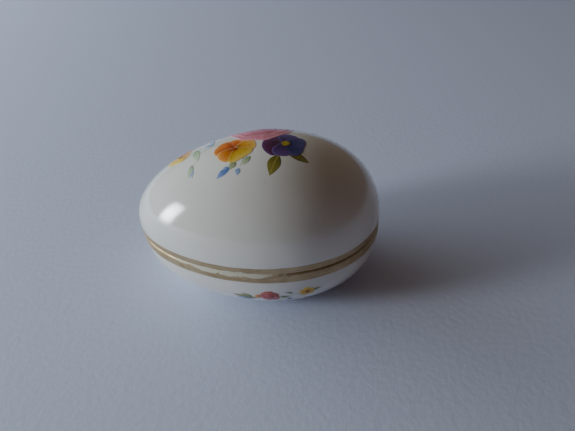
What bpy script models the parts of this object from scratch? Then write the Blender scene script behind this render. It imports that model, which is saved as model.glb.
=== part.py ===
"""An egg-shaped porcelain trinket box: a footed bowl with a locating gallery, and a domed lid that
sits over the gallery and lifts straight off. Gilding covers the edge of each rim.

Metres, +Z up, +X towards the egg's blunt end. The foot stands on Z = 0 under the middle of the plan.
"""

import math

import bmesh
import bpy
from mathutils import Vector

COLLECTION = "egg_trinket_box"

# The egg, as it lies on its side
LENGTH = 0.095
WIDTH = 0.063  # at mid-length
BLUNTNESS = 0.136  # share by which the section grows from mid-length to the blunt end
DOME_RISE = 0.0302  # the crown over the lid's straight rim, at mid-length

# The bowl
BASE_DEPTH = 0.027  # from the ledge that carries the lid down to the table
BOWL_FULLNESS = 2.3  # 2 is an ellipse in side view, and more is squarer
FOOT_LENGTH = 0.059
FOOT_RING = 0.003  # width of the ring that touches the table
FOOT_RECESS = 0.0015  # height of the hollow inside the ring
FOOT_SLOPE = 0.002  # width of the slope up into that hollow

# Walls and fits
WALL = 0.003
FLOOR = 0.0032
FLOOR_FILLET = 0.003
SEAM = 0.0003  # between the lid's rim and the ledge
SEAT_PLAY = 0.0005  # between the gallery and the lid's inner wall, all round
GALLERY_WALL = 0.0018
GALLERY_RISE = 0.0035
GALLERY_FADE = 0.009  # depth over which the gallery's extra thickness runs out inside the bowl
EDGE = 0.0005  # rounding of the bare porcelain edges

# Gilding, let into the porcelain so that it lies flush
LID_GILT = 0.0026
BASE_GILT = 0.0042
GILT_THICKNESS = 0.0003
GILT_GAP = 0.0003
LID_ROUND = 0.001  # outer rounding of the gilded edges
BASE_ROUND = 0.002
RIM_SPARE = 0.0003  # straight rim left beyond the gilding

# Fineness of the surfaces
SEGMENTS = 64
DOME_RINGS = 12
BOWL_RINGS = 9
CAVITY_RINGS = 12
ROUND_STEPS = 2

GALLERY_OUTER = WALL + SEAT_PLAY
GALLERY_INNER = GALLERY_OUTER + GALLERY_WALL
GILT_REBATE = GILT_THICKNESS + GILT_GAP
LID_RIM = LID_GILT + GILT_GAP + RIM_SPARE
BOWL_TOP = BASE_DEPTH - BASE_GILT - GILT_GAP - RIM_SPARE
FOOT_SCALE = FOOT_LENGTH / LENGTH
CAVITY_FLOOR = FOOT_RECESS + FLOOR
LID_SEAT = BASE_DEPTH + SEAM
QUARTER = math.pi / 2
SMALL_TURN = 1e-4  # for slopes taken by small steps

PORCELAIN = {"name": "glazed_porcelain", "colour": (0.80, 0.79, 0.75), "roughness": 0.12, "metallic": 0.0}
GOLD = {"name": "burnished_gold", "colour": (0.55, 0.40, 0.22), "roughness": 0.28, "metallic": 1.0}


def clear_scene():
    for obj in list(bpy.data.objects):
        bpy.data.objects.remove(obj, do_unlink=True)


def make_material(name, colour, roughness, metallic):
    material = bpy.data.materials.new(name)
    material.use_nodes = True
    shader = material.node_tree.nodes["Principled BSDF"]
    shader.inputs["Base Color"].default_value = (*colour, 1.0)
    shader.inputs["Roughness"].default_value = roughness
    shader.inputs["Metallic"].default_value = metallic
    material.diffuse_color = (*colour, 1.0)
    return material


# ---- surfaces ----


def outline(angle):
    """A point of the box's egg outline in plan."""
    x, y = math.cos(angle), math.sin(angle)
    return Vector((LENGTH / 2 * x, WIDTH / 2 * (1 + BLUNTNESS * x) * y, 0.0))


def outward(angle):
    """The outline's outward direction in plan."""
    along = outline(angle + SMALL_TURN) - outline(angle - SMALL_TURN)
    return Vector((along.y, -along.x, 0.0)).normalized()


def dome_point(turn, angle):
    """A point of the lid's outside in its rim's frame. turn is 0 at the rim and QUARTER at the crown."""
    x, y = math.cos(turn) * math.cos(angle), math.cos(turn) * math.sin(angle)
    swell = 1 + BLUNTNESS * x
    return Vector((LENGTH / 2 * x, WIDTH / 2 * swell * y, LID_RIM + DOME_RISE * swell * math.sin(turn)))


def foot_turn():
    """The turn at which the bowl's side has narrowed to the foot."""
    return math.acos(FOOT_SCALE ** (BOWL_FULLNESS / 2))


def bowl_point(turn, angle):
    """A point of the bowl's outside: turn is 0 under the rim and foot_turn() at the table. On to QUARTER
    the same curve closes under the table, which only the inside follows."""
    power = 2 / BOWL_FULLNESS
    depth = BOWL_TOP * (math.sin(turn) / math.sin(foot_turn())) ** power
    return outline(angle) * math.cos(turn) ** power + Vector((0.0, 0.0, BOWL_TOP - depth))


# ---- sections: each is a ring of SEGMENTS points, or a single point at a pole ----


def angles():
    return [2 * math.pi * i / SEGMENTS for i in range(SEGMENTS)]


def turns(end, count):
    """count turns evenly spaced from 0, not included, to end."""
    return [end * (i + 1) / count for i in range(count)]


def plan_ring(inset, z, scale=1.0):
    """The outline at height z, scaled, then moved inset inwards."""
    return [outline(a) * scale - outward(a) * inset + Vector((0.0, 0.0, z)) for a in angles()]


def skin_ring(surface, turn, depth=0.0):
    """The ring of a surface at turn, taken depth under the surface and square to it."""
    heart = (surface(0.0, 0.0) + surface(0.0, math.pi)) / 2
    ring = []
    for angle in angles():
        point = surface(turn, angle)
        if depth:
            along = surface(turn + SMALL_TURN, angle) - surface(turn - SMALL_TURN, angle)
            around = surface(turn, angle + SMALL_TURN) - surface(turn, angle - SMALL_TURN)
            square = along.cross(around).normalized()
            point = point + square * math.copysign(depth, square.dot(heart - point))
        ring.append(point)
    return ring


def round_edge(corner, inwards, upwards, radius=EDGE, scale=1.0):
    """Rings round an edge, from its upright side to its flat side. corner is its (inset, z) when sharp.
    The body lies on the side that inwards and upwards point to, each 1 or -1."""
    rings = []
    for step in range(ROUND_STEPS + 1):
        turn = QUARTER * step / ROUND_STEPS
        inset = corner[0] + inwards * radius * (1 - math.cos(turn))
        z = corner[1] + upwards * radius * (1 - math.sin(turn))
        rings.append(plan_ring(inset, z, scale))
    return rings


def loft(name, sections, material, parent=None, closed=False):
    """One closed body skinned over sections. closed joins the last to the first."""
    bm = bmesh.new()
    made = [[bm.verts.new(point) for point in section] for section in sections]
    following = made[1:] + made[:1] if closed else made[1:]
    for near, far in zip(made, following):
        for i in range(SEGMENTS):
            j = (i + 1) % SEGMENTS
            corners = [near[i % len(near)], near[j % len(near)], far[j % len(far)], far[i % len(far)]]
            bm.faces.new(dict.fromkeys(corners))
    bmesh.ops.recalc_face_normals(bm, faces=bm.faces)
    mesh = bpy.data.meshes.new(name)
    bm.to_mesh(mesh)
    bm.free()
    mesh.shade_smooth()
    mesh.set_sharp_from_angle(angle=math.radians(35))
    mesh.materials.append(material)
    obj = bpy.data.objects.new(name, mesh)
    obj.parent = parent
    bpy.data.collections[COLLECTION].objects.link(obj)


def gilt_band(rim_z, upwards, height, radius):
    """Sections of the gilding over a rim's rounded outer edge: up one side of the film and back down the
    other. rim_z is the rim's flat, and the body of the rim lies on the side that upwards points to."""
    film = GILT_THICKNESS
    outer = [plan_ring(0.0, rim_z + upwards * height)]
    outer += round_edge((0.0, rim_z), 1, upwards, radius)
    inner = [plan_ring(film, rim_z + upwards * height)]
    inner += round_edge((film, rim_z + upwards * film), 1, upwards, radius - film)
    return outer + inner[::-1]


def gilt_rebate(rim_z, upwards, height, radius):
    """Sections of the porcelain behind a gilt band, from its far edge to the bare part of the rim's flat."""
    depth = GILT_REBATE
    far = rim_z + upwards * (height + GILT_GAP)
    near = radius + GILT_GAP
    rings = [plan_ring(0.0, far), plan_ring(depth, far)]
    rings += round_edge((depth, rim_z + upwards * depth), 1, upwards, radius - depth)
    return rings + [plan_ring(near, rim_z + upwards * depth), plan_ring(near, rim_z)]


# ---- the bowl ----


def underside():
    """From the middle of the hollow under the foot out to the foot's outer edge."""
    slope_top = FOOT_RING + FOOT_SLOPE
    return [
        [Vector((0.0, 0.0, FOOT_RECESS))],
        plan_ring(0.0, FOOT_RECESS, FOOT_SCALE / 2),
        plan_ring(slope_top, FOOT_RECESS, FOOT_SCALE),
        *round_edge((FOOT_RING, 0.0), -1, 1, scale=FOOT_SCALE),
        *round_edge((0.0, 0.0), 1, 1, scale=FOOT_SCALE)[::-1],
    ]


def bowl_outside():
    """Up from the foot to the ledge that carries the lid."""
    side = [skin_ring(bowl_point, turn) for turn in turns(foot_turn(), BOWL_RINGS)[:-1]]
    return [*side[::-1], plan_ring(0.0, BOWL_TOP), *gilt_rebate(BASE_DEPTH, -1, BASE_GILT, BASE_ROUND)]


def gallery():
    """The locating flange that stands inside the lid."""
    top = BASE_DEPTH + GALLERY_RISE
    return [
        plan_ring(GALLERY_OUTER, BASE_DEPTH),
        *round_edge((GALLERY_OUTER, top), 1, -1),
        *round_edge((GALLERY_INNER, top), -1, -1)[::-1],
    ]


def filleted_floor(z):
    """z kept above the bowl's floor, with a soft corner."""
    above = z - CAVITY_FLOOR
    return CAVITY_FLOOR + (above + math.hypot(above, FLOOR_FILLET)) / 2


def gallery_root(z):
    """How much thicker than WALL the wall is at height z, under the gallery."""
    share = min(max((BASE_DEPTH - z) / GALLERY_FADE, 0.0), 1.0)
    return (GALLERY_INNER - WALL) * (1 - share * share * (3 - 2 * share))


def cavity():
    """Down the inside of the bowl to the middle of its floor."""
    rings = [plan_ring(WALL, BASE_DEPTH), plan_ring(WALL, BOWL_TOP)]
    rings += [skin_ring(bowl_point, turn, WALL) for turn in turns(QUARTER, CAVITY_RINGS)[:-1]]
    for ring in rings:
        for point, angle in zip(ring, angles()):
            point -= outward(angle) * gallery_root(point.z)
            point.z = filleted_floor(point.z)
    bottom = filleted_floor(bowl_point(QUARTER, 0.0).z + WALL)
    return [*rings, [Vector((0.0, 0.0, bottom))]]


def build_base(porcelain, gold):
    loft("base_bowl", [*underside(), *bowl_outside(), *gallery(), *cavity()], porcelain)
    loft("base_gilt_band", gilt_band(BASE_DEPTH, -1, BASE_GILT, BASE_ROUND), gold, closed=True)


# ---- the lid, in the frame of its own rim ----


def dome_skin(depth):
    """Up a side of the dome to its crown, depth under the outside."""
    rings = [skin_ring(dome_point, turn, depth) for turn in turns(QUARTER, DOME_RINGS)[:-1]]
    crown = dome_point(QUARTER, 0.0) - Vector((0.0, 0.0, depth))
    return [plan_ring(depth, LID_RIM), *rings, [crown]]


def build_lid(porcelain, gold):
    """The lid's pieces hang from an empty on the line along which the lid lifts."""
    lift = bpy.data.objects.new("lid_lift", None)
    lift.location = (0.0, 0.0, LID_SEAT)
    bpy.data.collections[COLLECTION].objects.link(lift)
    rim = [*gilt_rebate(0.0, 1, LID_GILT, LID_ROUND), *round_edge((WALL, 0.0), -1, 1)[::-1]]
    loft("lid_dome", [*dome_skin(0.0)[::-1], *rim, *dome_skin(WALL)], porcelain, lift)
    loft("lid_gilt_band", gilt_band(0.0, 1, LID_GILT, LID_ROUND), gold, lift, closed=True)


def main():
    clear_scene()
    bpy.context.scene.collection.children.link(bpy.data.collections.new(COLLECTION))
    porcelain, gold = make_material(**PORCELAIN), make_material(**GOLD)
    build_base(porcelain, gold)
    build_lid(porcelain, gold)


main()
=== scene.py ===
"""The looks of the egg-shaped porcelain trinket box: glazed shells, burnished gilding and painted flowers.

Every piece is built on two surfaces, the lid's dome and the bowl's side, whose sizes come from the CAD parts
in model.glb.
"""

import math

import bpy
import numpy as np
from mathutils import Matrix, Vector, noise


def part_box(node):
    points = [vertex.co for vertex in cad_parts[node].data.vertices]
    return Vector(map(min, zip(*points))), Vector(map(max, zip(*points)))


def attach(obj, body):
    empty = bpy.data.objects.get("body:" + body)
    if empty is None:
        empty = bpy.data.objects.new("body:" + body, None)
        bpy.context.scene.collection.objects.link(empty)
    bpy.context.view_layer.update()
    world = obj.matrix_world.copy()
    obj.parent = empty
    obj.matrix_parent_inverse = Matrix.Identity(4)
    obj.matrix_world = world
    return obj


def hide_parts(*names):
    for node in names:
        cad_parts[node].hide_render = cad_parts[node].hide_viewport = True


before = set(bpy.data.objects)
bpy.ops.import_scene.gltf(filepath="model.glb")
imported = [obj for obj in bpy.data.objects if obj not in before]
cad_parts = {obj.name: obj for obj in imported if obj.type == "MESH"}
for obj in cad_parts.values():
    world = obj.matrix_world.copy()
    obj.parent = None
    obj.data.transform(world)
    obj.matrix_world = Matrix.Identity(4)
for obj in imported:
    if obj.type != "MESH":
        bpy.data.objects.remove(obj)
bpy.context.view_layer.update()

MM = 0.001
QUARTER = math.pi / 2

# ---- the design's own shape and sizes, as the CAD has them ----

BLUNTNESS = 0.136
BOWL_FULLNESS = 2.3
FOOT_LENGTH = 59 * MM
FOOT_RING = 3 * MM
FOOT_RECESS = 1.5 * MM
FOOT_SLOPE = 2 * MM
WALL = 3 * MM
FLOOR = 3.2 * MM
FLOOR_FILLET = 3 * MM
GALLERY_OUTER = 3.5 * MM
GALLERY_INNER = 5.3 * MM
GALLERY_FADE = 9 * MM
LID_ROUND = 1 * MM
BASE_ROUND = 2 * MM
RIM_SPARE = 0.6 * MM  # straight wall beyond the gilding

lid_low, lid_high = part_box("lid_dome")
bowl_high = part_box("base_bowl")[1]
lid_gilt_low, lid_gilt_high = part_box("lid_gilt_band")
base_gilt_low, base_gilt_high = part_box("base_gilt_band")

HALF_LENGTH = (lid_high.x - lid_low.x) / 2
around = np.linspace(0, math.pi, 2001)
PEAK = float(np.max((1 + BLUNTNESS * np.cos(around)) * np.sin(around)))
HALF_WIDTH = lid_high.y / PEAK
LEDGE_Z = base_gilt_high.z
LID_Z = lid_gilt_low.z
LID_GILT = lid_gilt_high.z - LID_Z
BASE_GILT = LEDGE_Z - base_gilt_low.z
DOME_Z = LID_Z + LID_GILT + RIM_SPARE
DOME_RISE = (lid_high.z - DOME_Z) / PEAK
BOWL_TOP = LEDGE_Z - BASE_GILT - RIM_SPARE
GALLERY_TOP = bowl_high.z
FOOT_SCALE = FOOT_LENGTH / 2 / HALF_LENGTH
CAVITY_FLOOR = FOOT_RECESS + FLOOR

# ---- how fine, and how hand-made, the visible shells are ----

SEGMENTS = 240
SMALL_TURN = 1e-4
LID_SETTLE = 0.2 * MM  # how far the lid's rim comes down towards the ledge it rests on
FOOT_LIFT = 0.9 * MM  # height of the upright side of the foot
GILT_FILM = 0.025 * MM
GILT_UNDERSIDE = 0.25 * MM  # how far the gilding runs on past the rounded edge of a rim
GILT_BACK = 0.12 * MM  # how deep its back is let into the porcelain
GILT_SPREAD = 0.4 * MM  # how far the brush went past the lid's gilding line
PAINTED_SHEEN_AT = -9 * MM  # where the gilding's front is painted paler, along the box: a painted reflection of bright light on the rounded rims
PAINTED_SHEEN_REACH = 18 * MM
PAINT = 0.035 * MM  # thickness of one coat of enamel
PAINT_STEP = 0.012 * MM  # how much higher each later petal lies
SUNK = 0.06 * MM  # how deep the back of each petal is let into the glaze
PETAL_POINTS = 56  # round a petal's edge
EYE_COATS = 12  # a flower's eye lies over this many coats of petals
GLAZE_ROUGHNESS = 0.09
GLAZE_IOR = 1.52
GLAZE_BUMP = 0.03 * MM

# ---- the studio: the camera, the two lamps and the faint light from all round ----

CAMERA_AT = (0.0225, -0.1327, 0.1450)
CAMERA_AIM = (0.0115, -0.0018, 0.0281)
CAMERA_ROLL = math.radians(-4.8)
SENSOR_WIDTH = 36.0
FOCAL_LENGTH = 27.74  # for that sensor
FLOOR_SIZE = 3.0
# direction from the box, distance, width, height, power and colour, and whether gloss mirrors the lamp
WINDOW = ((-0.951, -0.222, 0.216), 0.9, 0.24, 0.46, 4.9, (0.88, 0.96, 1.0), True)
WIDE_LAMP = ((-0.92, 0.28, 0.29), 1.35, 2.8, 0.8, 20.5, (0.80, 0.93, 1.0), False)
LAMP_LEVEL = 36.0  # keeps a lamp's power: u(1 - u)v(1 - v) is 1/36 on average
WALL_SIDE = (-0.12, 0.86, 0.48)
WORLD_COLOURS = ((0.0, (0.050, 0.029, 0.017)), (1.0, (0.15, 0.125, 0.105)))

THETA = np.arange(SEGMENTS) * 2 * math.pi / SEGMENTS


# ---- the two surfaces ----


def outline(theta):
    """Points of the egg outline in plan."""
    x, y = np.cos(theta), np.sin(theta)
    return np.stack([HALF_LENGTH * x, HALF_WIDTH * (1 + BLUNTNESS * x) * y, 0 * x], -1)


def outward(theta):
    """The outline's outward directions in plan."""
    along = outline(theta + SMALL_TURN) - outline(theta - SMALL_TURN)
    across = np.stack([along[..., 1], -along[..., 0], 0 * theta], -1)
    return across / np.linalg.norm(across, axis=-1, keepdims=True)


def dome_point(turn, theta):
    """The lid's outside: turn is 0 at the top of its rim and QUARTER at the crown."""
    x, y = np.cos(turn) * np.cos(theta), np.cos(turn) * np.sin(theta)
    swell = 1 + BLUNTNESS * x
    z = DOME_Z + DOME_RISE * swell * np.sin(turn)
    return np.stack([HALF_LENGTH * x, HALF_WIDTH * swell * y, z], -1)


def foot_turn():
    return math.acos(FOOT_SCALE ** (BOWL_FULLNESS / 2))


def bowl_depth():
    """How deep the bowl's curve would go if it closed under the table."""
    return BOWL_TOP / math.sin(foot_turn()) ** (2 / BOWL_FULLNESS)


def bowl_point(turn, theta):
    """The bowl's outside: turn is 0 under its rim and foot_turn() at the table."""
    power = 2 / BOWL_FULLNESS
    down = np.array([0, 0, BOWL_TOP - bowl_depth() * math.sin(turn) ** power])
    return outline(theta) * math.cos(turn) ** power + down


def dome_level(points):
    """Negative inside the dome's surface, 0 on it and positive outside."""
    x = points[:, 0] / HALF_LENGTH
    swell = 1 + BLUNTNESS * x
    y = points[:, 1] / (HALF_WIDTH * swell)
    z = (points[:, 2] - DOME_Z) / (DOME_RISE * swell)
    return x**2 + y**2 + np.where(z > 0, z, 0) ** 2 - 1


def bowl_level(points):
    """The same for the bowl's side."""
    share = np.sqrt((points[:, 0] / HALF_LENGTH) ** 2 + (points[:, 1] / HALF_WIDTH) ** 2)
    for _ in range(12):
        swell = 1 + BLUNTNESS * points[:, 0] / (HALF_LENGTH * share)
        share = np.sqrt((points[:, 0] / HALF_LENGTH) ** 2 + (points[:, 1] / (HALF_WIDTH * swell)) ** 2)
    depth = np.clip((BOWL_TOP - points[:, 2]) / bowl_depth(), 0, 1)
    return share - (1 - depth**BOWL_FULLNESS) ** (1 / BOWL_FULLNESS)


def normals(level, points):
    """Outward directions of a surface, taken by small steps."""
    step = 0.01 * MM
    slopes = [level(points + step * axis) - level(points - step * axis) for axis in np.eye(3)]
    slopes = np.stack(slopes, -1)
    return slopes / np.linalg.norm(slopes, axis=1, keepdims=True)


def press(level, points, direction):
    """points moved along direction until they lie on a surface."""
    step = 0.01 * MM
    for _ in range(6):
        here = level(points)
        slope = (level(points + step * direction) - here) / step
        points = points - (here / slope)[:, None] * direction
    return points


# ---- shells: rings of SEGMENTS points, skinned into one closed mesh ----


def plan_ring(inset, z, scale=1.0):
    """The outline at height z, scaled, then moved inset inwards. inset and z may vary round the ring."""
    ring = outline(THETA) * scale - outward(THETA) * np.broadcast_to(inset, THETA.shape)[:, None]
    ring[:, 2] += z
    return ring


def skin_ring(surface, turn, depth=0.0):
    """The ring of a surface at turn, taken depth under it and square to it."""
    ring = surface(turn, THETA)
    if not depth:
        return ring
    heart = (surface(0.0, np.array([0.0])) + surface(0.0, np.array([math.pi]))) / 2
    along = surface(turn + SMALL_TURN, THETA) - surface(turn - SMALL_TURN, THETA)
    sideways = surface(turn, THETA + SMALL_TURN) - surface(turn, THETA - SMALL_TURN)
    square = np.cross(along, sideways)
    square /= np.linalg.norm(square, axis=1, keepdims=True)
    inwards = np.sign(np.sum(square * (heart - ring), axis=1, keepdims=True))
    return ring + square * inwards * depth


def soften(corners, steps=6):
    """A line through corners, each (inset, z, reach): a curve starts and ends reach from its corner."""
    line = []
    for i, (inset, z, reach) in enumerate(corners):
        here = np.array([inset, z])
        if not reach:
            line.append(here)
            continue
        before, after = np.array(corners[i - 1][:2]), np.array(corners[i + 1][:2])
        start = here + (before - here) / np.linalg.norm(before - here) * reach
        end = here + (after - here) / np.linalg.norm(after - here) * reach
        for share in np.linspace(0, 1, steps):
            line.append((1 - share) ** 2 * start + 2 * share * (1 - share) * here + share**2 * end)
    return line


def make_object(name, points, faces, values, material, body):
    """A smooth piece. values maps an attribute's name to one number for each point."""
    mesh = bpy.data.meshes.new(name)
    mesh.from_pydata(points.tolist(), [], faces)
    for key, numbers in values.items():
        mesh.attributes.new(key, "FLOAT", "POINT").data.foreach_set("value", np.asarray(numbers, np.float32))
    mesh.validate()
    mesh.shade_smooth()
    mesh.materials.append(material)
    piece = bpy.data.objects.new(name, mesh)
    bpy.context.scene.collection.objects.link(piece)
    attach(piece, body)
    return piece


def skin(sections, closed=False):
    """Faces between neighbouring sections, each a ring or a point. closed joins the last to the first."""
    faces, starts, count = [], [], 0
    for section in sections:
        starts.append((count, len(section)))
        count += len(section)
    following = starts[1:] + starts[:1] if closed else starts[1:]
    for (near, near_size), (far, far_size) in zip(starts, following):
        for i in range(max(near_size, far_size)):
            j = i + 1
            corners = [near + i % near_size, near + j % near_size, far + j % far_size, far + i % far_size]
            faces.append(tuple(dict.fromkeys(corners)))
    return faces


def waver(points, strength, size, seed):
    """Gentle unevenness, as of slip-cast ware: a number for each point."""
    offset = Vector((seed, 2.3 * seed, -seed))
    return strength * np.array([noise.noise(Vector(p) / size + offset) for p in points])


def shell(name, sections, bare, material, body, node):
    """A porcelain shell. bare holds one number for each section: 1 where it has no glaze."""
    points = np.concatenate(sections)
    faces = skin(sections)
    bare_values = np.concatenate([np.full(len(s), b) for s, b in zip(sections, bare)])
    piece = make_object(name, points, faces, {"bare": bare_values}, material, body)
    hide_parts(node)
    return piece


def pole(z):
    return np.array([[0.0, 0.0, z]])


def lid_sections():
    """From the crown down the outside, round the rim and up the inside. Each comes with its bareness."""
    rim = LID_Z - LID_SETTLE
    outside = [skin_ring(dome_point, turn) for turn in np.linspace(QUARTER, 0, 90)[1:]]
    edge = soften([
        (0, DOME_Z - 0.2 * MM, 0),
        (0, LID_Z + 1.6 * MM, 0),
        (0, rim, LID_ROUND),
        (LID_ROUND + 0.45 * MM, rim, 0),
        (LID_ROUND + 0.6 * MM, rim, 0),
        (WALL - 0.75 * MM, rim, 0),
        (WALL, rim, 0.6 * MM),
        (WALL, DOME_Z, 0),
    ], steps=8)
    inside = [skin_ring(dome_point, turn, WALL) for turn in np.linspace(0, QUARTER, 50)[1:-1]]
    sections = [pole(DOME_Z + DOME_RISE), *outside]
    sections += [plan_ring(inset, z) for inset, z in edge]
    sections += [*inside, pole(DOME_Z + DOME_RISE - WALL)]
    on_flat = [1.0 if z < rim + 1e-6 and LID_ROUND + 0.5 * MM < inset < WALL - 0.7 * MM else 0.0
               for inset, z in edge]
    bare = [0.0] * (1 + len(outside)) + on_flat + [0.0] * (len(inside) + 1)
    return sections, bare


def filleted_floor(z):
    above = z - CAVITY_FLOOR
    return CAVITY_FLOOR + (above + np.hypot(above, FLOOR_FILLET)) / 2


def cavity_ring(ring):
    """A ring of the bowl's inside, thickened under the gallery and kept above the floor."""
    share = np.clip((LEDGE_Z - ring[:, 2]) / GALLERY_FADE, 0, 1)
    root = (GALLERY_INNER - WALL) * (1 - share * share * (3 - 2 * share))
    ring = ring - outward(THETA) * root[:, None]
    ring[:, 2] = filleted_floor(ring[:, 2])
    return ring


def base_sections():
    """From under the foot, up the outside, over the ledge and the gallery, and down the inside."""
    slope_top = FOOT_RING + FOOT_SLOPE
    foot = soften([
        (slope_top + 3 * MM, FOOT_RECESS, 0),
        (slope_top, FOOT_RECESS, 0.9 * MM),
        (FOOT_RING, 0, 0.6 * MM),
        (FOOT_RING - 0.9 * MM, 0, 0),
        (0.9 * MM, 0, 0),
        (0, 0, 0.35 * MM),
        (0, FOOT_LIFT, 0.4 * MM),
        (-1.2 * MM, FOOT_LIFT, 0),
    ])
    low_share = (1 - FOOT_LIFT / BOWL_TOP) * math.sin(foot_turn()) ** (2 / BOWL_FULLNESS)
    low_turn = math.asin(low_share ** (BOWL_FULLNESS / 2))
    side = [skin_ring(bowl_point, turn) for turn in np.linspace(low_turn, 0, 60)[:-1]]
    rim = soften([
        (0, BOWL_TOP, 0),
        (0, LEDGE_Z - BASE_ROUND - 0.6 * MM, 0),
        (0, LEDGE_Z, BASE_ROUND),
        (BASE_ROUND + 0.45 * MM, LEDGE_Z, 0),
        (BASE_ROUND + 0.6 * MM, LEDGE_Z, 0),
        (GALLERY_OUTER - 0.5 * MM, LEDGE_Z, 0),
        (GALLERY_OUTER, LEDGE_Z, 0.4 * MM),
        (GALLERY_OUTER, GALLERY_TOP, 0.8 * MM),
        (GALLERY_INNER, GALLERY_TOP, 0.8 * MM),
        (GALLERY_INNER, LEDGE_Z + 0.8 * MM, 0),
    ], steps=8)
    inside = [cavity_ring(plan_ring(WALL, z)) for z in np.linspace(LEDGE_Z, BOWL_TOP, 5)]
    inside += [cavity_ring(skin_ring(bowl_point, turn, WALL)) for turn in np.linspace(0, QUARTER, 60)[1:-1]]
    bottom = filleted_floor(BOWL_TOP - bowl_depth() + WALL)
    under = [pole(FOOT_RECESS)]
    under += [plan_ring(0, FOOT_RECESS, FOOT_SCALE * share) for share in (0.15, 0.3, 0.45, 0.6)]
    sections = [*under, *(plan_ring(inset, z, FOOT_SCALE) for inset, z in foot)]
    sections += [*side, *(plan_ring(inset, z) for inset, z in rim), *inside, pole(bottom)]
    foot_bare = [1.0 if z < 0.1 * MM else 0.0 for inset, z in foot]
    rim_bare = [1.0 if abs(z - LEDGE_Z) < 1e-6 and inset > BASE_ROUND + 0.5 * MM else 0.0 for inset, z in rim]
    bare = [0.0] * len(under) + foot_bare + [0.0] * len(side) + rim_bare + [0.0] * (len(inside) + 1)
    return sections, bare


def beside(line, distance):
    """A line of (inset, z) points moved sideways, to the left of the way it runs."""
    line = np.array(line)
    way = np.gradient(line, axis=0)
    way /= np.linalg.norm(way, axis=1, keepdims=True)
    return line + distance * np.stack([-way[:, 1], way[:, 0]], -1)


def gilding(name, rim_z, upwards, height, radius, seed, material, body, node):
    """The gold over a rim's rounded outer edge, brushed on by hand: its free edge wavers a little."""
    brush = waver(outline(THETA), 0.16 * MM, 9 * MM, seed) + waver(outline(THETA), 0.05 * MM, 1.7 * MM, seed)
    free = rim_z + upwards * (height + brush)
    path = soften([
        (0, rim_z + upwards * (radius + 0.7 * MM), 0),
        (0, rim_z, radius),
        (radius + GILT_UNDERSIDE, rim_z, 0),
    ], steps=12)
    face = beside(path, -upwards * GILT_FILM)
    back = beside(path, upwards * GILT_BACK)
    outer = [plan_ring(0.01 * MM, free + upwards * 0.03 * MM), plan_ring(-GILT_FILM, free)]
    outer += [plan_ring(-GILT_FILM, free - upwards * step * MM) for step in (0.12, 0.35)]
    outer += [plan_ring(inset, z) for inset, z in face]
    inner = [plan_ring(inset, z) for inset, z in back]
    inner.insert(0, plan_ring(GILT_BACK, free - upwards * 0.3 * MM))
    sections = outer + inner[::-1]
    points = np.concatenate(sections)
    # Pale cream near the rim's edge: a little wear all round, and much more at the front left, where it is a
    # painted reflection of bright light on the rounded shoulder.
    near_seam = np.clip(1.25 - np.abs(points[:, 2] - rim_z) / radius, 0, 1)
    painted_sheen_side = np.exp(-(((points[:, 0] - PAINTED_SHEEN_AT) / PAINTED_SHEEN_REACH) ** 4)) * (points[:, 1] < 0)
    wear_and_sheen = near_seam * (0.25 + 0.75 * painted_sheen_side)
    piece = make_object(name, points, skin(sections, closed=True), {"wear_and_sheen": wear_and_sheen}, material, body)
    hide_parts(node)
    return piece


# ---- painting: petals, leaves and stems as thin coats on a surface ----


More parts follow.
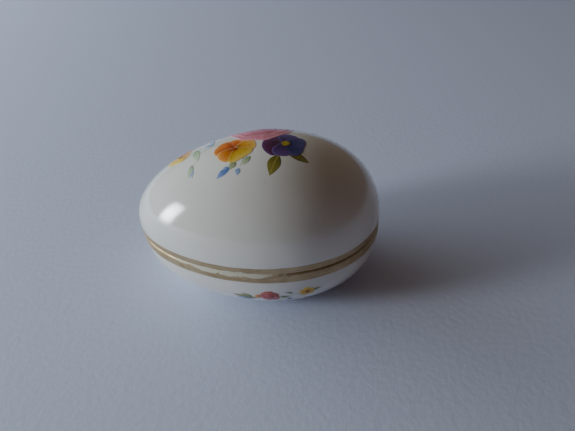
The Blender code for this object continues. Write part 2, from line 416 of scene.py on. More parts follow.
class Spray:
    """Coats of paint that share one material, pressed onto one surface."""

    def __init__(self, level, seed):
        self.level = level
        self.random = np.random.default_rng(seed)
        self.points, self.faces = [], []
        self.values = {key: [] for key in ("along", "across", "rim", "tone", "lot")}
        self.count = 0
        self.coats = 0

    def lay(self, points, faces, **values):
        self.points.append(points)
        self.faces += [tuple(self.count + i for i in face) for face in faces]
        for key, store in self.values.items():
            store.append(np.broadcast_to(values[key], len(points)))
        self.count += len(points)

    def petal(self, spot, heading, length, half_width, start=0.0, skew=1.0, full=0.6, notch=0.0,
              ruffle=0.04, bend=0.0, tone=0.0, teeth=0.0):
        """A petal or a leaf. It leaves spot in direction heading, start away from it. skew over 1 is widest
        towards the tip, full under 1 is broad, notch dents the tip, and bend curves the petal."""
        lot = self.random.random()
        around = np.arange(PETAL_POINTS) * 2 * math.pi / PETAL_POINTS
        along = 0.5 - 0.5 * np.cos(around)
        width = np.sin(math.pi * np.clip(along, 0.002, 0.998) ** skew) ** full
        across = np.sign(np.sin(around)) * width
        waves = sum(np.cos(k * around + self.random.uniform(0, 6.3)) / k for k in (3, 5, 7, 11))
        swell = 1 + ruffle * waves * along + teeth * np.cos(23 * around) * width
        edge = np.stack([along, across * half_width / length], -1)
        edge[:, 0] -= notch * np.exp(-((across / 0.45) ** 2)) * (along > 0.5)
        middle = np.array([0.52, 0.0])
        edge = middle + (edge - middle) * swell[:, None]
        rings = np.concatenate([np.linspace(0.1, 0.9, 9), [0.96, 1.0]])
        flat = [middle[None]] + [middle + (edge - middle) * share for share in rings]
        rim = [np.zeros(1)] + [np.full(len(edge), share) for share in rings]
        flat += [flat[-1], middle[None]]
        rim += [rim[-1], rim[0]]
        sizes = [len(part) for part in flat]
        flat, rim = np.concatenate(flat), np.concatenate(rim)
        local = np.stack([start + flat[:, 0] * length, (flat[:, 1] + bend * flat[:, 0] ** 2) * length], -1)
        ahead, aside = math.cos(heading), math.sin(heading)
        turned = local @ np.array([[ahead, aside], [-aside, ahead]])
        lift = self.coats * PAINT_STEP + PAINT * (1 - 0.7 * rim**8)
        backs = sizes[-1] + sizes[-2]
        lift[-backs:] = -SUNK
        self.coats += 1
        points = self.pressed(spot, turned, lift)
        sections = np.split(np.arange(len(flat)), np.cumsum(sizes)[:-1])
        self.lay(points, skin(sections), along=flat[:, 0], across=flat[:, 1] * length / half_width,
                 rim=rim, tone=tone, lot=lot)

    def disc(self, spot, radius, tone=0.0):
        """A small round dab."""
        self.petal(spot, 0.0, 2 * radius, radius, start=-radius, full=0.5, ruffle=0.05, tone=tone)

    def stem(self, spot, course, width, taper=0.4, tone=0.0):
        """A painted stem along course, points in the plane of spot that a smooth curve runs through."""
        course = np.asarray(course, float)
        line = smooth_curve(course, 10)
        along = np.linspace(0, 1, len(line))
        side = np.gradient(line, axis=0)
        side = np.stack([-side[:, 1], side[:, 0]], -1) / np.linalg.norm(side, axis=1, keepdims=True)
        half = width / 2 * (1 - (1 - taper) * along) * np.clip(np.minimum(along, 1 - along) * 14 + 0.15, 0, 1)
        ring_of, lifts, shares = [], [], []
        for share, height in ((-1, 0.2), (-0.6, 0.8), (0, 1), (0.6, 0.8), (1, 0.2), (1, -1), (-1, -1)):
            ring_of.append(line + side * (half * share)[:, None])
            lifts.append(np.full(len(line), PAINT * height if height > 0 else -SUNK))
            shares.append(np.full(len(line), float(share)))
        sides = len(ring_of)
        flat = np.stack(ring_of, 1).reshape(-1, 2)
        lift, across = np.stack(lifts, 1).reshape(-1), np.stack(shares, 1).reshape(-1)
        points = self.pressed(spot, flat, lift)
        sections = np.arange(len(flat)).reshape(-1, sides)
        faces = skin(list(sections)) + [tuple(sections[0]), tuple(sections[-1][::-1])]
        self.lay(points, faces, along=np.repeat(along, sides), across=across, rim=np.abs(across),
                 tone=tone, lot=self.random.random())

    def pressed(self, spot, flat, lift):
        """Points of spot's tangent plane put onto the surface, then lifted off it."""
        at, right, up, normal = spot
        points = at + flat[:, :1] * right + flat[:, 1:] * up
        points = press(self.level, points, normal)
        return points + normals(self.level, points) * lift[:, None]

    def finish(self, name, material, body):
        values = {key: np.concatenate(store) for key, store in self.values.items()}
        return make_object(name, np.concatenate(self.points), self.faces, values, material, body)


def smooth_curve(course, steps):
    """Points of a smooth curve through course."""
    ends = np.vstack([2 * course[0] - course[1], course, 2 * course[-1] - course[-2]])
    line = []
    for a, b, c, d in zip(ends[:-3], ends[1:-2], ends[2:-1], ends[3:]):
        for t in np.arange(steps) / steps:
            line.append(0.5 * (2 * b + (c - a) * t + (2 * a - 5 * b + 4 * c - d) * t**2
                               + (3 * b - a - 3 * c + d) * t**3))
    return np.array([*line, course[-1]])


def plane_at(level, point, right):
    """(point, right, up, normal) of the tangent plane at a point of a surface."""
    normal = normals(level, point[None])[0]
    right = right - normal * np.dot(right, normal)
    right /= np.linalg.norm(right)
    return point, right, np.cross(normal, right), normal


def on_lid(x, y):
    """The tangent plane of the lid's dome over (x, y), in millimetres from the middle of the box."""
    share = x * MM / HALF_LENGTH
    swell = 1 + BLUNTNESS * share
    height = math.sqrt(1 - share**2 - (y * MM / (HALF_WIDTH * swell)) ** 2)
    point = np.array([x * MM, y * MM, DOME_Z + DOME_RISE * swell * height])
    return plane_at(dome_level, point, np.array([1.0, 0.0, 0.0]))


def on_bowl(x, z, side=-1):
    """The tangent plane of the bowl's side at height z. side is -1 at the front and 1 at the back."""
    depth = max(BOWL_TOP - z * MM, 0) / bowl_depth()
    scale = (1 - depth**BOWL_FULLNESS) ** (1 / BOWL_FULLNESS)
    theta = side * math.acos(x * MM / (HALF_LENGTH * scale))
    point = outline(np.array([theta]))[0] * scale + np.array([0, 0, z * MM])
    return plane_at(bowl_level, point, np.array([-side * 1.0, 0.0, 0.0]))


# ---- materials ----


def paint(code):
    """A colour from its sRGB hex code."""
    parts = [int(code[i : i + 2], 16) / 255 for i in (0, 2, 4)]
    return (*(p / 12.92 if p <= 0.04045 else ((p + 0.055) / 1.055) ** 2.4 for p in parts), 1.0)


class Nodes:
    """Builds one material's nodes. Sockets and plain values are both welcome as inputs."""

    def __init__(self, name):
        self.material = bpy.data.materials.new(name)
        self.material.use_nodes = True
        self.tree = self.material.node_tree
        self.shader = self.tree.nodes["Principled BSDF"]
        place = self.tree.nodes.new("ShaderNodeTexCoord")
        self.place = place.outputs["Object"]

    def add(self, kind, inputs, **settings):
        made = self.tree.nodes.new("ShaderNode" + kind)
        for key, value in settings.items():
            setattr(made, key, value)
        for key, value in inputs.items():
            self.put(made.inputs[key], value)
        return made

    def put(self, socket, value):
        if isinstance(value, bpy.types.NodeSocket):
            self.tree.links.new(value, socket)
        else:
            socket.default_value = value

    def math(self, operation, a, b=0.0, c=0.0):
        return self.add("Math", {0: a, 1: b, 2: c}, operation=operation).outputs[0]

    def attribute(self, name):
        return self.add("Attribute", {}, attribute_name=name).outputs["Fac"]

    def noise(self, scale, detail=3.0, roughness=0.5, vector=None, distortion=0.0):
        inputs = {"Vector": vector or self.place, "Scale": scale, "Detail": detail}
        inputs |= {"Roughness": roughness, "Distortion": distortion}
        return self.add("TexNoise", inputs).outputs["Fac"]

    def band(self, value, low, high, to_low=0.0, to_high=1.0):
        """value carried from low..high to to_low..to_high, smoothly and no further."""
        inputs = {0: value, 1: low, 2: high, 3: to_low, 4: to_high}
        return self.add("MapRange", inputs, interpolation_type="SMOOTHSTEP").outputs[0]

    def mix(self, share, a, b):
        made = self.add("Mix", {0: share, 6: a, 7: b}, data_type="RGBA")
        return made.outputs[2]

    def ramp(self, value, stops):
        made = self.add("ValToRGB", {0: value})
        elements = made.color_ramp.elements
        while len(elements) < len(stops):
            elements.new(0.5)
        for element, (position, code) in zip(elements, stops):
            element.position = position
            element.color = paint(code)
        return made.outputs["Color"]

    def bump(self, height, distance):
        inputs = {"Height": height, "Distance": distance, "Strength": 1.0}
        return self.add("Bump", inputs).outputs["Normal"]

    def finish(self, **inputs):
        for key, value in inputs.items():
            self.put(self.shader.inputs[key.replace("_", " ")], value)
        return self.material


def glaze_height(nodes):
    """The slow ripple and the fine orange peel of a fired glaze."""
    ripple = nodes.noise(90, detail=2)
    peel = nodes.noise(900, detail=2)
    return nodes.math("ADD", nodes.math("MULTIPLY", ripple, 0.8), nodes.math("MULTIPLY", peel, 0.08))


def glaze_roughness(nodes):
    """Gloss dulled a little, in patches, by handling."""
    smears = nodes.noise(55, detail=5, roughness=0.65, distortion=0.6)
    return nodes.band(smears, 0.35, 0.8, GLAZE_ROUGHNESS - 0.03, GLAZE_ROUGHNESS + 0.07)


def porcelain():
    nodes = Nodes("glazed_porcelain")
    bare = nodes.attribute("bare")
    cloud = nodes.band(nodes.noise(28, detail=4), 0.3, 0.7)
    colour = nodes.mix(cloud, paint("ece9e2"), paint("e6e4df"))
    cells = nodes.add("TexVoronoi", {"Vector": nodes.place, "Scale": 150.0, "Randomness": 1.0})
    speck = nodes.band(cells.outputs["Distance"], 0.015, 0.035, 1.0, 0.0)
    chosen = nodes.band(nodes.add("SeparateColor", {0: cells.outputs["Color"]}).outputs[0], 0.78, 0.8)
    speck = nodes.math("MULTIPLY", speck, chosen)
    colour = nodes.mix(nodes.math("MULTIPLY", speck, 0.75), colour, paint("6f5a43"))
    grit = nodes.noise(700, detail=4, roughness=0.7)
    bisque = nodes.mix(nodes.band(grit, 0.35, 0.75), paint("d9d2c4"), paint("b8ab97"))
    colour = nodes.mix(bare, colour, bisque)
    roughness = nodes.math("ADD", glaze_roughness(nodes), nodes.math("MULTIPLY", bare, 0.6))
    grain = nodes.math("MULTIPLY", grit, bare)
    height = nodes.math("ADD", glaze_height(nodes), nodes.math("MULTIPLY", grain, 0.5))
    height = nodes.math("SUBTRACT", height, nodes.math("MULTIPLY", speck, 0.3))
    return nodes.finish(
        Base_Color=colour, Roughness=roughness, Normal=nodes.bump(height, GLAZE_BUMP),
        Subsurface_Weight=0.06, Subsurface_Radius=(1.0, 0.8, 0.6), Subsurface_Scale=1.5 * MM, IOR=GLAZE_IOR,
        Specular_IOR_Level=0.7, Coat_Weight=0.8, Coat_Roughness=0.05, Coat_IOR=1.5,
    )


def gold():
    """Thin fired gold, satin with age. The pale cream it is painted with near the rims is partly wear all
    round and partly a painted reflection of bright light on the rounded rims at the front left.
    """
    nodes = Nodes("burnished_gold")
    wear_and_sheen = nodes.attribute("wear_and_sheen")
    cloud = nodes.noise(160, detail=4, roughness=0.6)
    strokes = nodes.add("Mapping", {"Vector": nodes.place, "Scale": (90.0, 90.0, 2600.0)}).outputs[0]
    brush = nodes.noise(1.0, detail=4, roughness=0.6, vector=strokes)
    colour = nodes.mix(nodes.band(cloud, 0.3, 0.75), paint("cdb792"), paint("b39b74"))
    colour = nodes.mix(nodes.band(brush, 0.35, 0.8, 0.0, 0.5), colour, paint("8a7350"))
    grain = nodes.noise(260, detail=6, roughness=0.72)
    # Pale cream near the rims: wear all round, and a painted reflection of bright light at the front left.
    pale_wear_and_sheen = nodes.band(nodes.math("ADD", grain, nodes.math("MULTIPLY", wear_and_sheen, 0.5)), 0.66, 0.80)
    colour = nodes.mix(pale_wear_and_sheen, colour, paint("dcd6c4"))
    satin = nodes.band(cloud, 0.2, 0.8, 0.32, 0.46)
    roughness = nodes.math("ADD", satin, nodes.math("MULTIPLY", brush, 0.08))
    height = nodes.math("ADD", nodes.math("MULTIPLY", brush, 0.6), nodes.math("MULTIPLY", pale_wear_and_sheen, -0.8))
    metal = nodes.math("MULTIPLY_ADD", pale_wear_and_sheen, -0.5, 0.55)
    return nodes.finish(
        Base_Color=colour, Metallic=metal, Roughness=roughness, Normal=nodes.bump(height, 0.02 * MM),
    )


def enamel(name, first, second, vein, veins=9.0, vein_strength=0.5, edge="ffffff", edge_strength=0.25):
    """Painted petals. first and second are colour stops from a petal's foot to its tip, and each petal's
    tone says how much of second it has. Veins spread from the foot, and the edge has a wash of its own."""
    nodes = Nodes(name)
    along, across = nodes.attribute("along"), nodes.attribute("across")
    rim, tone, lot = nodes.attribute("rim"), nodes.attribute("tone"), nodes.attribute("lot")
    wash = nodes.noise(420, detail=5, roughness=0.65)
    share = nodes.math("ADD", along, nodes.math("MULTIPLY", nodes.math("SUBTRACT", wash, 0.5), 0.42))
    colour = nodes.mix(tone, nodes.ramp(share, first), nodes.ramp(share, second))
    fan = nodes.math("ARCTAN2", across, nodes.math("ADD", along, 0.12))
    wobble = nodes.math("MULTIPLY", nodes.noise(700, detail=2), 1.6)
    wave = nodes.math("SINE", nodes.math("ADD", nodes.math("MULTIPLY", fan, veins), wobble))
    line = nodes.band(nodes.math("ABSOLUTE", wave), 0.0, 0.42, 1.0, 0.0)
    fade = nodes.band(along, 0.1, 0.85, vein_strength, 0.0)
    colour = nodes.mix(nodes.math("MULTIPLY", line, fade), colour, paint(vein))
    washed = nodes.math("MULTIPLY", nodes.band(rim, 0.72, 1.0), edge_strength)
    colour = nodes.mix(washed, colour, paint(edge))
    shade = nodes.math("MULTIPLY_ADD", lot, 0.28, 0.86)
    shade = nodes.math("MULTIPLY", shade, nodes.band(wash, 0.2, 0.8, 0.86, 1.1))
    scaled = nodes.add("VectorMath", {0: colour, "Scale": shade}, operation="SCALE").outputs[0]
    height = nodes.math("SUBTRACT", glaze_height(nodes), nodes.math("MULTIPLY", line, 0.25))
    return nodes.finish(
        Base_Color=scaled, Roughness=glaze_roughness(nodes), Normal=nodes.bump(height, GLAZE_BUMP),
        IOR=GLAZE_IOR,
    )


def leaf_enamel(name, first, second, rib):
    """Painted leaves: a midrib with side veins, and a dark line round the edge."""
    nodes = Nodes(name)
    along, across = nodes.attribute("along"), nodes.attribute("across")
    rim, tone, lot = nodes.attribute("rim"), nodes.attribute("tone"), nodes.attribute("lot")
    wash = nodes.noise(380, detail=5, roughness=0.65)
    share = nodes.math("ADD", along, nodes.math("MULTIPLY", nodes.math("SUBTRACT", wash, 0.5), 0.5))
    colour = nodes.mix(tone, nodes.ramp(share, first), nodes.ramp(share, second))
    aside = nodes.math("ABSOLUTE", across)
    slant = nodes.math("SUBTRACT", nodes.math("MULTIPLY", along, 26.0), nodes.math("MULTIPLY", aside, 7.0))
    side_vein = nodes.band(nodes.math("ABSOLUTE", nodes.math("SINE", slant)), 0.0, 0.35, 0.45, 0.0)
    midrib = nodes.band(aside, 0.03, 0.12, 0.8, 0.0)
    drawn = nodes.math("MULTIPLY_ADD", tone, -0.75, 1.0)
    ribs = nodes.math("MULTIPLY", nodes.math("MAXIMUM", side_vein, midrib), drawn)
    colour = nodes.mix(ribs, colour, paint(rib))
    outlined = nodes.math("MULTIPLY", nodes.band(rim, 0.82, 1.0, 0.0, 0.5), drawn)
    colour = nodes.mix(outlined, colour, paint("2e3314"))
    shade = nodes.math("MULTIPLY_ADD", lot, 0.35, 0.82)
    scaled = nodes.add("VectorMath", {0: colour, "Scale": shade}, operation="SCALE").outputs[0]
    height = nodes.math("SUBTRACT", glaze_height(nodes), nodes.math("MULTIPLY", midrib, 0.3))
    return nodes.finish(
        Base_Color=scaled, Roughness=glaze_roughness(nodes), Normal=nodes.bump(height, GLAZE_BUMP),
        IOR=GLAZE_IOR,
    )


# ---- flowers ----


def pansy(spray, spot, heading, size, reaches, tones):
    """A five-petalled pansy. reaches and tones are those of its two upper, two side and one lower petals."""
    size *= MM
    plan = ((180 - 38, 0.60), (180 + 38, 0.60), (78, 0.50), (-78, 0.50), (0, 0.68))
    for (turn, width), length, tone in zip(plan, reaches, tones):
        spray.petal(
            spot, math.radians(heading + turn), size * length, size * width, start=-0.08 * size, skew=1.5,
            full=0.5, notch=0.07 if turn == 0 else 0.02, ruffle=0.05, tone=tone,
        )


def rose(spray, spot, size):
    """A full-blown rose, from its outer petals to its heart."""
    size *= MM
    rings = ((7, 1.00, 0.50, 0.40, 0.0), (6, 0.82, 0.46, 0.26, 0.25), (5, 0.62, 0.38, 0.14, 0.5),
             (5, 0.44, 0.28, 0.06, 0.75), (4, 0.28, 0.19, 0.0, 0.9), (3, 0.16, 0.11, -0.02, 1.0))
    for ring, (count, reach, width, start, tone) in enumerate(rings):
        for i in range(count):
            heading = 2 * math.pi * i / count + 0.55 * ring + spray.random.uniform(-0.3, 0.3)
            reach_here = reach * spray.random.uniform(0.88, 1.04)
            spray.petal(
                spot, heading, size * (reach_here - start), size * width, start=size * start, skew=1.7,
                full=0.45, notch=0.05, ruffle=0.10, bend=spray.random.uniform(-0.15, 0.15),
                tone=min(max(tone + spray.random.uniform(-0.25, 0.25), 0), 1),
            )


def small_bloom(spray, spot, size, count=5, tone=0.0, turn=0.0):
    """A little open flower."""
    size *= MM
    for i in range(count):
        heading = 2 * math.pi * i / count + turn
        spray.petal(spot, heading, size, size * 0.45, start=0.1 * size, skew=1.5, full=0.5, tone=tone)


def bud(spray, spot, heading, size, tone=0.0):
    """A half-open bud of overlapping petals."""
    size *= MM
    for aside, reach in ((0.55, 0.85), (-0.55, 0.85), (0.22, 1.0), (-0.2, 0.95), (0.0, 0.8)):
        turn = math.radians(heading) + aside
        spray.petal(spot, turn, size * reach, size * 0.3, skew=1.3, full=0.7, tone=tone)


def leaf(spray, spot, heading, length, width, bend=0.1, tone=0.0):
    spray.petal(
        spot, math.radians(heading), length * MM, width * MM / 2, skew=0.85, full=0.95, ruffle=0.03,
        bend=bend, tone=tone, teeth=0.025,
    )


def millimetres(points):
    return [(x * MM, y * MM) for x, y in points]


def paint_lid(paints):
    """The bouquet over the crown, lying along the box, its nearest flowers in front of the crown line."""
    greens = Spray(dome_level, 11)
    crown = on_lid(1, 3)
    for course, width in (
        ([(-4, -1), (-13, 0.5), (-21, 2), (-27, 3)], 0.35),
        ([(-3, -6), (-4.4, -10), (-8, -12)], 0.5),
        ([(-2, -8), (-2.6, -10), (-3.6, -13)], 0.4),
        ([(-15, 1.5), (-19.5, -2), (-21.3, -8)], 0.3),
        ([(11, -4), (10.4, -8), (8.4, -13)], 0.6),
        ([(12, -4), (15, -6.5), (19, -8.5)], 0.5),
        ([(2, 13), (-6, 19), (-12, 22)], 0.5),
        ([(6, 15), (12, 22), (14, 26)], 0.5),
    ):
        greens.stem(crown, millimetres(course), width * MM, tone=1.0 if width < 0.4 else 0.2)
    for x, y, heading, length, width, bend, tone in (
        (10.6, -6.6, -114, 8.8, 4.6, 0.10, 0.0),
        (13.6, -5.2, -22, 8.4, 3.2, -0.12, 0.0),
        (0.9, -6.6, -132, 4.4, 2.2, 0.10, 0.75),
        (-4.4, -8.0, -112, 3.6, 2.4, -0.10, 0.6),
        (-20.8, 5.0, -82, 8.6, 3.0, 0.08, 1.0),
        (-20.7, -4.6, -93, 5.4, 2.2, -0.10, 1.0),
        (12.5, 22.2, 62, 7.6, 3.6, 0.12, 0.0),
        (4.6, 25.4, 100, 6.4, 3.2, -0.10, 0.2),
        (-5.4, 23.4, 138, 7.6, 3.5, 0.14, 0.1),
        (-10.8, 20.4, 168, 7.0, 3.3, -0.14, 0.3),
        (17.6, 19.4, 28, 6.6, 3.0, 0.12, 0.1),
    ):
        leaf(greens, on_lid(x, y), heading, length, width, bend, tone)
    greens.finish("lid_painted_leaves", paints["leaf"], "lid")

    blues = Spray(dome_level, 12)
    for x, y, heading, length, width, tone in (
        (-5.7, -9.9, -146, 6.6, 2.6, 0.0),
        (-6.4, -10.0, -168, 2.6, 1.3, 0.6),
        (-2.9, -11.0, -105, 2.9, 2.0, 0.9),
        (-20.6, -6.0, -88, 4.6, 1.8, 1.0),
        (-13.8, 5.0, 165, 4.8, 2.6, 0.95),
        (-14.0, 6.8, 130, 4.2, 2.2, 0.8),
    ):
        leaf(blues, on_lid(x, y), heading, length, width, 0.1, tone)
    far_blooms = ((23.0, 18.4), (14.4, 27.4), (-12.8, 23.8))
    for x, y in far_blooms:
        small_bloom(blues, on_lid(x, y), 1.9, tone=0.4, turn=x)
    blues.finish("lid_blue_sprigs", paints["blue"], "lid")

    pink = Spray(dome_level, 13)
    rose(pink, on_lid(3.0, 14.4), 12.6)
    pink.finish("lid_rose", paints["rose"], "lid")

    orange = Spray(dome_level, 14)
    pansy(orange, on_lid(-5.0, -1.7), -58, 7.3, (1.0, 1.22, 1.16, 1.06, 1.0), (0.0, 0.05, 0.6, 0.25, 1.0))
    orange.finish("lid_orange_pansy", paints["orange"], "lid")

    violet = Spray(dome_level, 15)
    pansy(violet, on_lid(12.2, -0.2), -12, 8.1, (1.06, 1.06, 0.98, 0.94, 1.08), (0.15, 0.0, 0.7, 0.45, 1.0))
    violet.finish("lid_violet_pansy", paints["violet"], "lid")

    yellow = Spray(dome_level, 16)
    petals = ((48, 6.6, 0.9), (-28, 5.4, 0.4), (115, 5.4, 0.6), (250, 4.6, 0.0), (180, 6.0, 0.0))
    for heading, reach, tone in petals:
        yellow.petal(
            on_lid(-27.6, 4.6), math.radians(heading), reach * MM, 3.3 * MM, start=-0.4 * MM, skew=1.4,
            full=0.5, ruffle=0.05, tone=tone,
        )
    yellow.finish("lid_yellow_bloom", paints["yellow"], "lid")

    eyes = Spray(dome_level, 17)
    eyes.coats = EYE_COATS
    eyes.disc(on_lid(-5.0, -2.0), 0.8 * MM, tone=1.0)
    eyes.disc(on_lid(12.9, -0.4), 1.5 * MM, tone=0.0)
    eyes.disc(on_lid(-27.6, 4.6), 0.7 * MM, tone=0.6)
    for x, y in far_blooms:
        eyes.disc(on_lid(x, y), 0.55 * MM, tone=0.0)
    eyes.finish("lid_flower_eyes", paints["eye"], "lid")


def paint_base_side(paints, place, side, seed):
    """One small spray on the bowl. side is -1 at the front and 1 at the back, where it is turned round."""

    def at(x, z):
        return on_bowl(-side * x, z, side)

    greens = Spray(bowl_level, seed + 1)
    course = [(-13, -1.5), (-8, -2), (-3, 0), (4, -0.5), (10, 1)]
    greens.stem(at(8, 14.5), millimetres(course), 0.45 * MM, tone=0.3)
    for x, z, heading, length, width, bend, tone in (
        (-0.2, 12.0, 162, 9.4, 2.8, 0.1, 0.25),
        (-1.6, 13.8, 158, 4.6, 1.8, -0.1, 0.6),
        (8.8, 13.6, -20, 3.6, 1.7, 0.12, 0.5),
        (13.6, 15.8, 150, 3.2, 1.5, 0.1, 0.9),
        (20.8, 15.8, 8, 3.2, 1.5, 0.1, 0.5),
    ):
        leaf(greens, at(x, z), heading, length, width, bend, tone)
    greens.finish(f"base_{place}_leaves", paints["leaf"], "base")

    pink = Spray(bowl_level, seed + 2)
    rose(pink, at(4.9, 14.1), 3.9)
    pink.finish(f"base_{place}_rose", paints["red"], "base")

    yellow = Spray(bowl_level, seed + 3)
    small_bloom(yellow, at(18.8, 15.6), 2.8, tone=0.0, turn=0.4)
    bud(yellow, at(1.6, 14.0), 172, 2.6, tone=0.9)
    yellow.finish(f"base_{place}_yellow_bloom", paints["yellow"], "base")

    blues = Spray(bowl_level, seed + 4)
    small_bloom(blues, at(12.0, 11.0), 1.4, tone=0.8, turn=0.9)
    leaf(blues, at(-2.0, 11.0), 166, 6.8, 1.7)
    blues.finish(f"base_{place}_blue_sprigs", paints["blue"], "base")

    eyes = Spray(bowl_level, seed + 5)
    eyes.coats = EYE_COATS
    eyes.disc(at(18.8, 15.6), 0.6 * MM, tone=1.0)
    eyes.disc(at(12.0, 11.0), 0.4 * MM, tone=0.0)
    eyes.finish(f"base_{place}_flower_eyes", paints["eye"], "base")


def paint_base(paints):
    paint_base_side(paints, "front", -1, 20)
    paint_base_side(paints, "back", 1, 30)


def make_paints():
    return {
        "leaf": leaf_enamel(
            "leaf_enamel",
            ((0.0, "4e4810"), (0.45, "786e24"), (1.0, "989044")),
            ((0.0, "7f9c7c"), (0.5, "a9bda0"), (1.0, "c4cfb8")), "a89f4e",
        ),
        "blue": enamel(
            "blue_enamel",
            ((0.0, "587aa8"), (0.3, "6482be"), (1.0, "90a6da")),
            ((0.0, "8aa6c4"), (0.5, "9db3d8"), (1.0, "bccbe6")), "3a558f", vein_strength=0.35, edge="dfe6f6",
        ),
        "rose": enamel(
            "rose_enamel",
            ((0.0, "b4385c"), (0.5, "d6788e"), (1.0, "e398a8")),
            ((0.0, "84183a"), (0.5, "bd4263"), (1.0, "d46c86")), "8c1a3c", veins=12.0, vein_strength=0.35,
            edge="eeb4c0", edge_strength=0.3,
        ),
        "red": enamel(
            "red_enamel",
            ((0.0, "8e2228"), (0.5, "b84c4a"), (1.0, "cf827a")),
            ((0.0, "6a101a"), (0.5, "982c34"), (1.0, "b44c4c")), "57101f", veins=10.0, vein_strength=0.3,
            edge="e2a49a", edge_strength=0.3,
        ),
        "orange": enamel(
            "orange_enamel",
            ((0.0, "6e1c08"), (0.3, "ac3e10"), (0.6, "cf6420"), (1.0, "e08c44")),
            ((0.0, "94420c"), (0.25, "c08414"), (0.55, "d8ac2a"), (1.0, "e4c668")), "6a1c06", veins=14.0,
            vein_strength=0.8, edge="f0cc90", edge_strength=0.35,
        ),
        "violet": enamel(
            "violet_enamel",
            ((0.0, "24061a"), (0.35, "460f3c"), (1.0, "66285e")),
            ((0.0, "1c1040"), (0.35, "322c70"), (1.0, "5a5aa4")), "12030f", veins=13.0, vein_strength=0.7,
            edge="7f70aa", edge_strength=0.25,
        ),
        "yellow": enamel(
            "yellow_enamel",
            ((0.0, "c08f10"), (0.4, "e4b820"), (1.0, "eecf66")),
            ((0.0, "b0481a"), (0.5, "d8783c"), (1.0, "e4a880")), "96540f", veins=9.0, vein_strength=0.5,
            edge="f6e6b0",
        ),
        "eye": enamel(
            "eye_enamel",
            ((0.0, "a08a10"), (0.5, "c4aa1c"), (1.0, "a08a10")),
            ((0.0, "7c2a08"), (0.5, "a8440e"), (1.0, "7c2a08")), "5c2a06", veins=20.0, vein_strength=0.6,
            edge="5c3a08", edge_strength=0.5,
        ),
    }


# ---- the object ----


def build_object():
    white, gilt = porcelain(), gold()
    sections, bare = lid_sections()
    shell("lid_shell", sections, bare, white, "lid", "lid_dome")
    sections, bare = base_sections()
    shell("base_shell", sections, bare, white, "base", "base_bowl")
    lid_rim = LID_Z - LID_SETTLE
    lid_gilt = LID_GILT + LID_SETTLE + GILT_SPREAD
    gilding("lid_gilding", lid_rim, 1, lid_gilt, LID_ROUND, 3.0, gilt, "lid", "lid_gilt_band")
    gilding("base_gilding", LEDGE_Z, -1, BASE_GILT, BASE_ROUND, 8.0, gilt, "base", "base_gilt_band")
    paints = make_paints()
    paint_lid(paints)
    paint_base(paints)


# ---- the studio ----


def add_floor():
    bpy.ops.mesh.primitive_plane_add(size=FLOOR_SIZE, location=(0, 0, 0))
    floor = bpy.context.object
    floor.name = "floor"
    nodes = Nodes("pale_floor")
    weave = nodes.noise(420, detail=3)
    colour = nodes.mix(weave, paint("ccd4ee"), paint("d3daf2"))
    material = nodes.finish(Base_Color=colour, Roughness=0.85, Normal=nodes.bump(weave, 0.1 * MM))
    floor.data.materials.append(material)


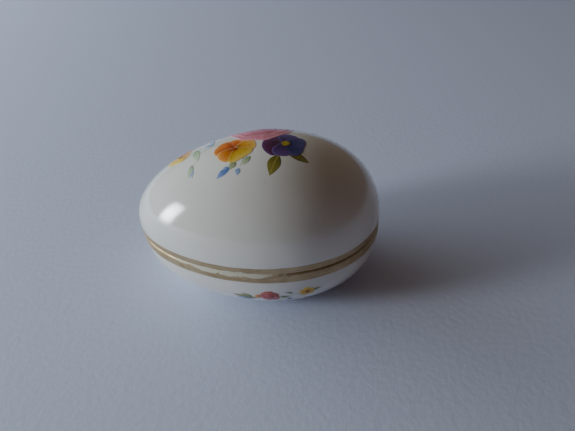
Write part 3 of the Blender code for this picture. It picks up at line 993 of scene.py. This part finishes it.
def add_softbox(name, direction, distance, width, height, power, colour, mirrored):
    """A rectangular lamp that looks at the box, brightest at its centre and fading to its edges. Without
    mirrored it lights the box but leaves no reflection in its gloss."""
    lamp = bpy.data.lights.new(name, "AREA")
    lamp.shape, lamp.size, lamp.size_y = "RECTANGLE", width, height
    lamp.energy, lamp.color = power, colour
    lamp.use_nodes = True
    tree = lamp.node_tree
    place = tree.nodes.new("ShaderNodeNewGeometry").outputs["Parametric"]
    rest, bumps = tree.nodes.new("ShaderNodeVectorMath"), tree.nodes.new("ShaderNodeVectorMath")
    rest.operation, bumps.operation = "SUBTRACT", "MULTIPLY"
    rest.inputs[0].default_value = (1, 1, 1)
    axes, both, level = (tree.nodes.new("ShaderNode" + kind) for kind in ("SeparateXYZ", "Math", "Math"))
    both.operation = level.operation = "MULTIPLY"
    level.inputs[1].default_value = LAMP_LEVEL
    for source, target in (
        (place, rest.inputs[1]),
        (place, bumps.inputs[0]),
        (rest.outputs[0], bumps.inputs[1]),
        (bumps.outputs[0], axes.inputs[0]),
        (axes.outputs[0], both.inputs[0]),
        (axes.outputs[1], both.inputs[1]),
        (both.outputs[0], level.inputs[0]),
        (level.outputs[0], tree.nodes["Emission"].inputs["Strength"]),
    ):
        tree.links.new(source, target)
    obj = bpy.data.objects.new(name, lamp)
    heading = Vector(direction).normalized()
    obj.location = Vector((0, 0, LEDGE_Z)) + heading * distance
    obj.rotation_euler = (-heading).to_track_quat("-Z", "Y").to_euler()
    obj.visible_glossy = mirrored
    bpy.context.scene.collection.objects.link(obj)


def add_world():
    """Faint light from all round: pale from the wall behind the box, dim and warm from the room in front."""
    world = bpy.data.worlds.new("studio")
    bpy.context.scene.world = world
    world.use_nodes = True
    tree = world.node_tree
    place = tree.nodes.new("ShaderNodeTexCoord")
    towards = tree.nodes.new("ShaderNodeVectorMath")
    towards.operation = "DOT_PRODUCT"
    towards.inputs[1].default_value = Vector(WALL_SIDE).normalized()
    ramp = tree.nodes.new("ShaderNodeValToRGB")
    ramp.color_ramp.interpolation = "EASE"
    for element, (position, colour) in zip(ramp.color_ramp.elements, WORLD_COLOURS):
        element.position = position
        element.color = (*colour, 1.0)
    tree.links.new(place.outputs["Generated"], towards.inputs[0])
    tree.links.new(towards.outputs["Value"], ramp.inputs[0])
    tree.links.new(ramp.outputs["Color"], tree.nodes["Background"].inputs["Color"])


def add_lights():
    add_world()
    add_softbox("window_softbox", *WINDOW)
    add_softbox("wide_softbox", *WIDE_LAMP)


def add_camera():
    lens = bpy.data.cameras.new("camera")
    lens.sensor_width, lens.lens = SENSOR_WIDTH, FOCAL_LENGTH
    lens.clip_start = 0.005
    camera = bpy.data.objects.new("camera", lens)
    heading = Vector(CAMERA_AIM) - Vector(CAMERA_AT)
    aim = heading.to_track_quat("-Z", "Y").to_matrix().to_4x4()
    camera.matrix_world = Matrix.Translation(CAMERA_AT) @ aim @ Matrix.Rotation(CAMERA_ROLL, 4, "Z")
    bpy.context.scene.collection.objects.link(camera)
    bpy.context.scene.camera = camera


add_camera()
build_object()
add_floor()
add_lights()
